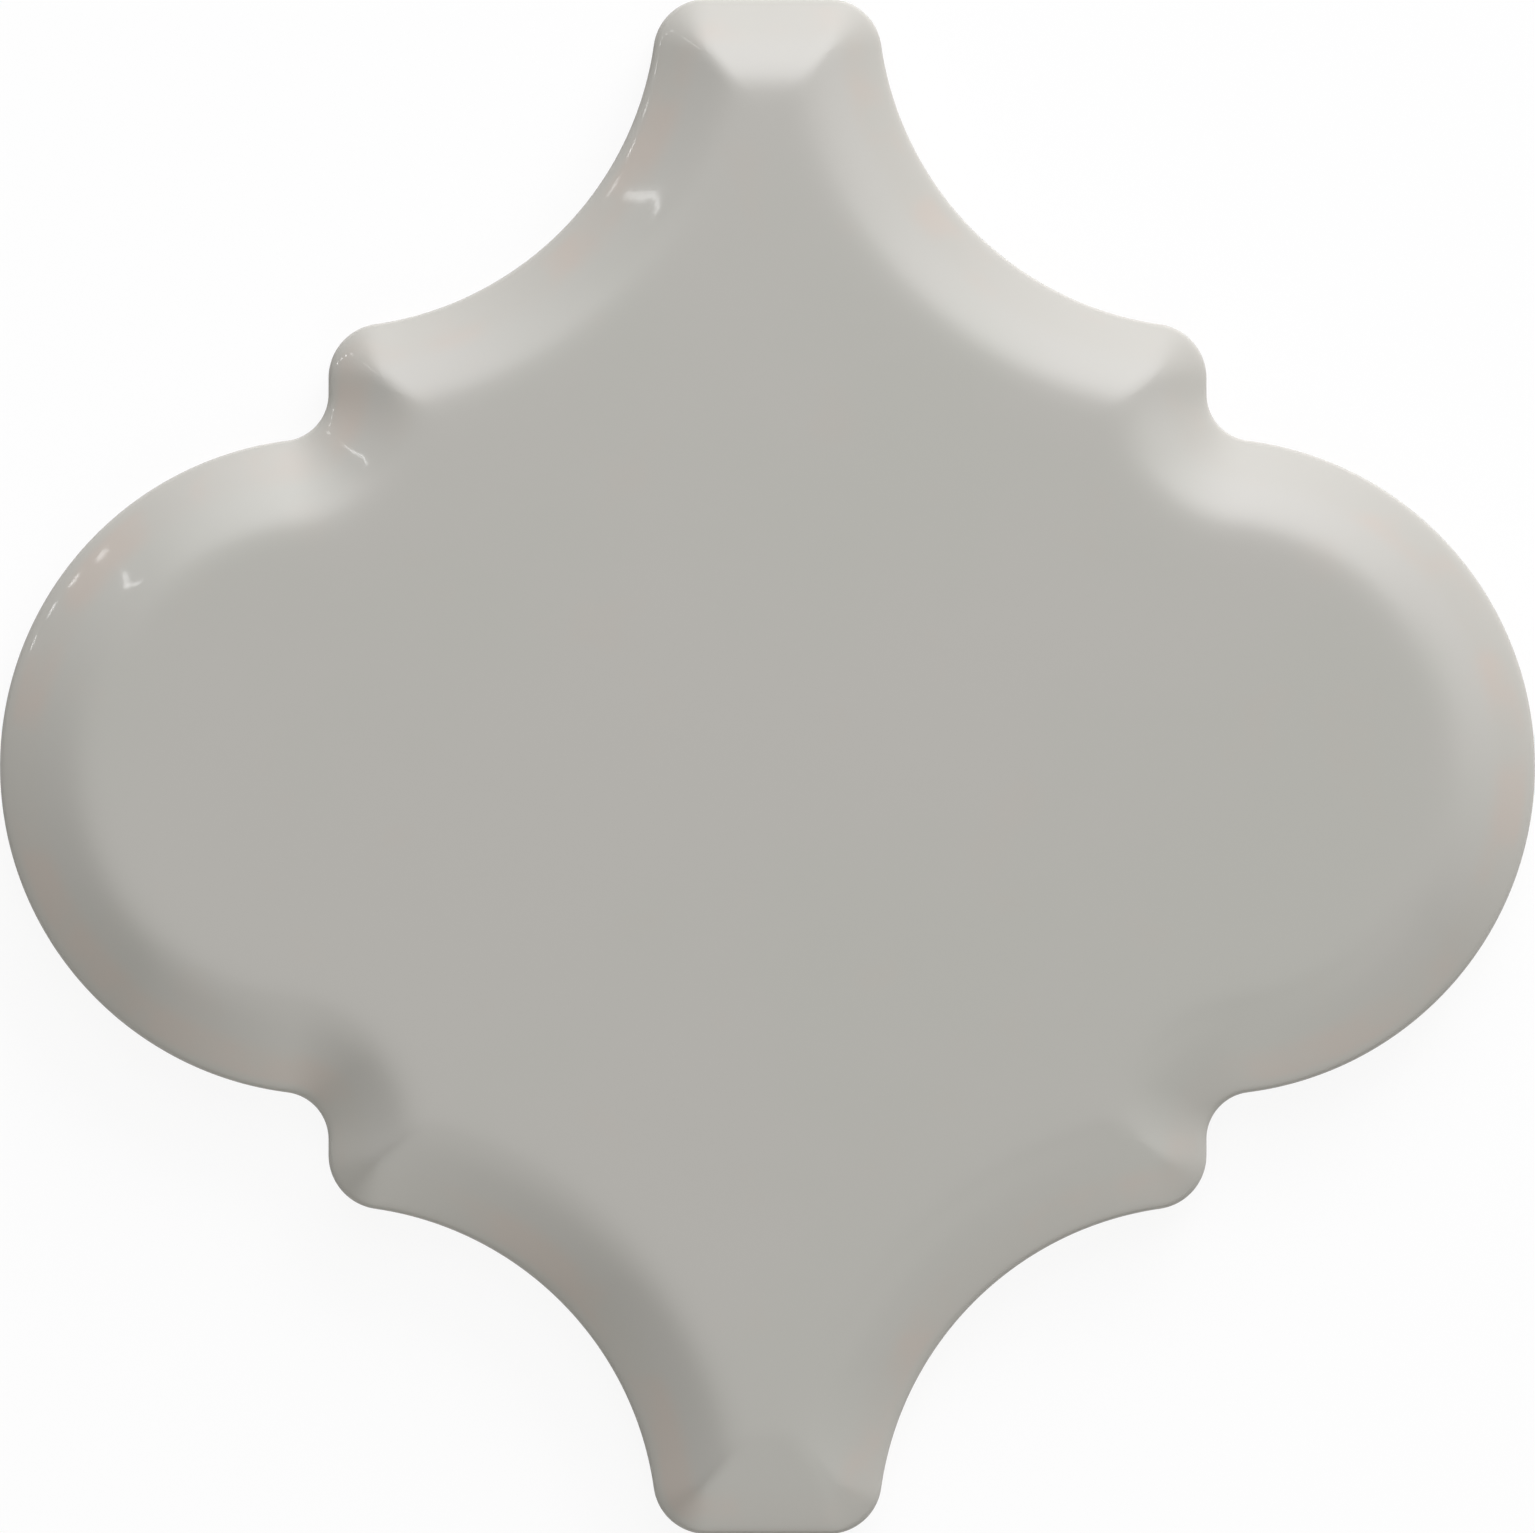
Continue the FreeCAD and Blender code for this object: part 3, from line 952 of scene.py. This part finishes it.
    def keying_tree(self, glaze: bpy.types.Material, biscuit: bpy.types.Material) -> GeometryTree:
        """Tree that cuts the keying grooves into the back and gives each face its coat.

        Args:
            glaze: Material of the face and the upper wall.
            biscuit: Material of the bare body.

        Returns:
            A tree with the grooves' sizes as inputs.
        """
        tree = GeometryTree(
            "keyed_back",
            {
                "Grooves": self.grooves,
                "Pitch": self.groove_pitch,
                "Width": self.groove_width,
                "Depth": self.groove_depth,
                "Draft": self.groove_draft,
                "Rim": self.back_rim,
                "Lobe Radius": self.outline.lobe,
                "Riser": self.outline.riser_x,
                "Half Height": self.outline.half_height,
            },
        )
        cut = tree.add(
            "GeometryNodeMeshBoolean",
            {"Mesh 1": tree.size("Geometry"), "Mesh 2": self.groove_bars(tree)},
            operation="DIFFERENCE",
            solver="EXACT",
        ).outputs["Mesh"]
        smooth = tree.add(
            "GeometryNodeSetShadeSmooth", {"Geometry": cut, "Shade Smooth": True}, domain="FACE"
        ).outputs[0]
        angle = tree.add("GeometryNodeInputMeshEdgeAngle").outputs["Unsigned Angle"]
        is_soft = tree.math("LESS_THAN", angle, self.sharp_angle)
        creased = tree.add(
            "GeometryNodeSetShadeSmooth", {"Geometry": smooth, "Shade Smooth": is_soft}, domain="EDGE"
        ).outputs[0]
        tree.close(creased, (glaze, True), (biscuit, tree.is_set(Mark.BARE)))
        return tree

    @staticmethod
    def groove_bars(tree: GeometryTree) -> Socket:
        """Bars that cut the grooves, half sunk into the back and marked as bare.

        Args:
            tree: Tree under construction.

        Returns:
            The bars' mesh.
        """
        count, pitch, width = tree.size("Grooves"), tree.size("Pitch"), tree.size("Width")
        span = tree.math("MULTIPLY", tree.math("SUBTRACT", 1.0, count), pitch)
        start = tree.vector(y=tree.math("MULTIPLY", span, 0.5))
        rows = tree.add(
            "GeometryNodeMeshLine",
            {"Count": count, "Start Location": start, "Offset": tree.vector(y=pitch)},
        ).outputs[0]
        line = tree.add(
            "GeometryNodeCurvePrimitiveLine", {"Start": (-1.0, 0.0, 0.0), "End": (1.0, 0.0, 0.0)}
        ).outputs[0]
        stretch = tree.vector(GlazedTile.groove_end(tree), 1.0, 1.0)
        lines = tree.add(
            "GeometryNodeInstanceOnPoints", {"Points": rows, "Instance": line, "Scale": stretch}
        ).outputs[0]
        paths = tree.add("GeometryNodeRealizeInstances", {"Geometry": lines}).outputs[0]
        profile = tree.add(
            "GeometryNodeCurvePrimitiveQuadrilateral",
            {
                "Height": tree.math("MULTIPLY", tree.size("Depth"), 2.0),
                "Bottom Width": tree.math("MULTIPLY_ADD", tree.size("Draft"), 2.0, width),
                "Top Width": tree.math("MULTIPLY_ADD", tree.size("Draft"), -2.0, width),
                "Offset": 0.0,
            },
            mode="TRAPEZOID",
        ).outputs[0]
        bars = tree.add(
            "GeometryNodeCurveToMesh", {"Curve": paths, "Profile Curve": profile, "Fill Caps": True}
        ).outputs[0]
        return tree.store(bars, Mark.BARE, 1.0, "FACE")

    @staticmethod
    def groove_end(tree: GeometryTree) -> Socket:
        """Half length of the groove in a row, which keeps the rim's width clear of the outline."""
        rim, lobe, riser = tree.size("Rim"), tree.size("Lobe Radius"), tree.size("Riser")
        place = tree.add("GeometryNodeInputPosition").outputs[0]
        row = tree.math("ABSOLUTE", tree.add("ShaderNodeSeparateXYZ", {0: place}).outputs["Y"])
        far = tree.math("MULTIPLY_ADD", tree.size("Width"), 0.5, row)
        inner = tree.math("SUBTRACT", lobe, rim)
        outer = tree.math("ADD", lobe, rim)
        below = tree.math("SUBTRACT", tree.size("Half Height"), far)
        lobe_end = tree.math("ADD", riser, GlazedTile.circle_height(tree, inner, far))
        neck = tree.math("MAXIMUM", rim, GlazedTile.circle_height(tree, outer, below))
        neck_end = tree.math("SUBTRACT", riser, neck)
        on_lobe = tree.math("LESS_THAN", far, inner)
        choice = {"Switch": on_lobe, "False": neck_end, "True": lobe_end}
        return tree.add("GeometryNodeSwitch", choice, input_type="FLOAT").outputs[0]

    @staticmethod
    def circle_height(tree: GeometryTree, radius: Socket, aside: Socket) -> Socket:
        """Height of a circle of a radius at a distance aside of its middle."""
        whole = tree.math("MULTIPLY", radius, radius)
        square = tree.math("SUBTRACT", whole, tree.math("MULTIPLY", aside, aside))
        return tree.math("SQRT", tree.math("MAXIMUM", square, 0.0))


@dataclass(frozen=True)
class SoftBox:
    """Area lamp aimed at the tile, with its angles in degrees.

    Attributes:
        name: The lamp's name.
        bearing: Direction it stands in, anticlockwise from +X.
        tilt: Angle from the vertical.
        distance: From the tile.
        width: Side of the lamp across its bearing.
        depth: Its other side.
        watts: Power.
        grid: Angle over which its grid lets the light fan out.
        twist: Turn about its own axis.
        tint: Colour of its light.
        mirrored: Whether the glaze mirrors the lamp's face.
    """

    name: str
    bearing: float
    tilt: float
    distance: float
    width: float
    depth: float
    watts: float
    grid: float
    twist: float = 0.0
    tint: Colour = (1.0, 1.0, 1.0)
    mirrored: bool = True

    def build(self) -> bpy.types.Object:
        """Hang the lamp.

        Returns:
            The lamp's object.
        """
        data = bpy.data.lights.new(self.name, "AREA")
        data.shape = "RECTANGLE"
        data.size, data.size_y = self.width, self.depth
        data.energy = self.watts
        data.color = self.tint
        data.spread = math.radians(self.grid)
        lamp = bpy.data.objects.new(self.name, data)
        bearing, tilt = math.radians(self.bearing), math.radians(self.tilt)
        away = Vector(
            (math.sin(tilt) * math.cos(bearing), math.sin(tilt) * math.sin(bearing), math.cos(tilt))
        )
        lamp.location = away * self.distance
        turn = Quaternion(away, math.radians(self.twist))
        lamp.rotation_euler = (turn @ away.to_track_quat("Z", "Y")).to_euler()
        lamp.visible_camera = False
        lamp.visible_glossy = self.mirrored
        bpy.context.scene.collection.objects.link(lamp)
        return lamp


LOW_KEY = SoftBox(
    "low_key", bearing=74, tilt=75, distance=1.6, width=1.45, depth=0.87, watts=14.1, grid=120,
    tint=(1.0, 1.0, 1.05), mirrored=False,
)
LONG_STRIP = SoftBox(
    "long_strip", bearing=141.4, tilt=40.7, distance=1.2, width=0.011, depth=0.093, watts=0.0027, grid=60,
    twist=19,
)


@dataclass(frozen=True)
class Studio:
    """White floor, soft boxes and a long lens straight above the tile.

    Attributes:
        lamps: Soft boxes, and small lamps for the glints.
        dome: Strength of the even light from all round.
        floor_size: Side of the floor.
        floor_colour: Its own colour.
        white_share: How far it shows as white to the camera and in reflections.
        camera_height: From the floor to the camera.
        sensor: Width of the camera's sensor, in millimetres.
        sight: How far the camera sees.
    """

    lamps: tuple[SoftBox, ...] = (
        LOW_KEY,
        replace(LOW_KEY, name="side_key", bearing=55, tilt=68, watts=6.9),
        SoftBox(
            "low_fill", bearing=276, tilt=44, distance=1.1, width=1.6, depth=1.6, watts=2.84, grid=70,
            tint=(1.015, 1.0, 0.96),
        ),
        SoftBox("key_box", bearing=85, tilt=42, distance=1.1, width=1.4, depth=1.4, watts=1.32, grid=64),
        SoftBox("top_box", bearing=85, tilt=28, distance=1.1, width=1.2, depth=1.2, watts=0.6, grid=56),
        LONG_STRIP,
        replace(
            LONG_STRIP, name="short_strip", bearing=141.6, tilt=43.8, depth=0.052, watts=0.0015, twist=-32
        ),
        *(
            SoftBox(
                f"row_lamp_{n + 1}", bearing=141 + 6.1 * n, tilt=47.8 + 1.5 * n, distance=1.2,
                width=0.04, depth=0.011, watts=0.0012 + 0.0004 * n, grid=60,
            )
            for n in range(4)
        ),
    )
    dome: float = 0.04
    floor_size: float = 6.0
    floor_colour: Colour = (0.86, 0.86, 0.86)
    white_share: float = 0.9
    camera_height: float = 1.0
    sensor: float = 36.0
    sight: float = 20.0

    def build(self, tile: GlazedTile) -> None:
        """Set up floor, world, lamps and camera.

        Args:
            tile: The tile that fills the frame.
        """
        self.floor()
        self.world()
        for lamp in self.lamps:
            lamp.build()
        self.camera(tile)
        bpy.context.scene.view_settings.view_transform = "Standard"

    def floor(self) -> None:
        """Lay the floor, which the camera and reflections see as nearly white."""
        shape = bmesh.new()
        bmesh.ops.create_grid(shape, x_segments=1, y_segments=1, size=self.floor_size / 2)
        mesh = bpy.data.meshes.new("floor")
        shape.to_mesh(mesh)
        shape.free()
        floor = bpy.data.objects.new("floor", mesh)
        bpy.context.scene.collection.objects.link(floor)
        material = bpy.data.materials.new("floor_white")
        material.use_nodes = True
        nodes = material.node_tree.nodes
        nodes.remove(nodes["Principled BSDF"])
        draft = NodeDraft(material.node_tree)
        matt = draft.add("ShaderNodeBsdfDiffuse", {"Color": opaque(self.floor_colour)})
        glow = draft.add("ShaderNodeEmission", {"Color": WHITE, "Strength": 1.0})
        share = draft.math("MULTIPLY", self.seen_as_background(draft), self.white_share)
        mixed = draft.add("ShaderNodeMixShader", {0: share, 1: matt.outputs[0], 2: glow.outputs[0]})
        draft.feed(nodes["Material Output"].inputs["Surface"], mixed.outputs[0])
        mesh.materials.append(material)

    @staticmethod
    def seen_as_background(draft: NodeDraft) -> Socket:
        """1 for rays that show the background: from the camera, off gloss or through glass."""
        path = draft.add("ShaderNodeLightPath").outputs
        seen = draft.math("MAXIMUM", path["Is Camera Ray"], path["Is Glossy Ray"])
        return draft.math("MAXIMUM", seen, path["Is Transmission Ray"])

    def world(self) -> None:
        """Light the room softly from all round, and show it as white."""
        world = bpy.data.worlds.new("studio")
        world.use_nodes = True
        bpy.context.scene.world = world
        draft = NodeDraft(world.node_tree)
        shade = world.node_tree.nodes["Background"]
        seen = self.seen_as_background(draft)
        strength = draft.math("MULTIPLY_ADD", seen, 1.0 - self.dome, self.dome)
        draft.feed(shade.inputs["Strength"], strength)
        draft.feed(shade.inputs["Color"], WHITE)

    def camera(self, tile: GlazedTile) -> None:
        """Look straight down on the tile, with its outline touching the frame.

        Args:
            tile: The tile that fills the frame.
        """
        data = bpy.data.cameras.new("camera")
        camera = bpy.data.objects.new("camera", data)
        camera.location = (0.0, 0.0, self.camera_height)
        data.sensor_width = self.sensor
        rim = self.camera_height - tile.section.wall_top
        data.lens = self.sensor * rim / (2 * tile.outline.half_width)
        data.clip_end = self.sight
        bpy.context.scene.collection.objects.link(camera)
        bpy.context.scene.camera = camera


def main() -> None:
    """Build the tile to the part's sizes and its studio, and log the tile's face count."""
    logging.basicConfig(level=logging.INFO)
    low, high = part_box(NODE)
    tile = GlazedTile(
        outline=TileOutline(half_width=high.x, half_height=high.y),
        section=TileSection(thickness=high.z - low.z),
    )
    piece = tile.build()
    log.info("%s: %d faces", piece.name, len(piece.data.polygons))
    Studio().build(tile)


if __name__ == "__main__":
    main()
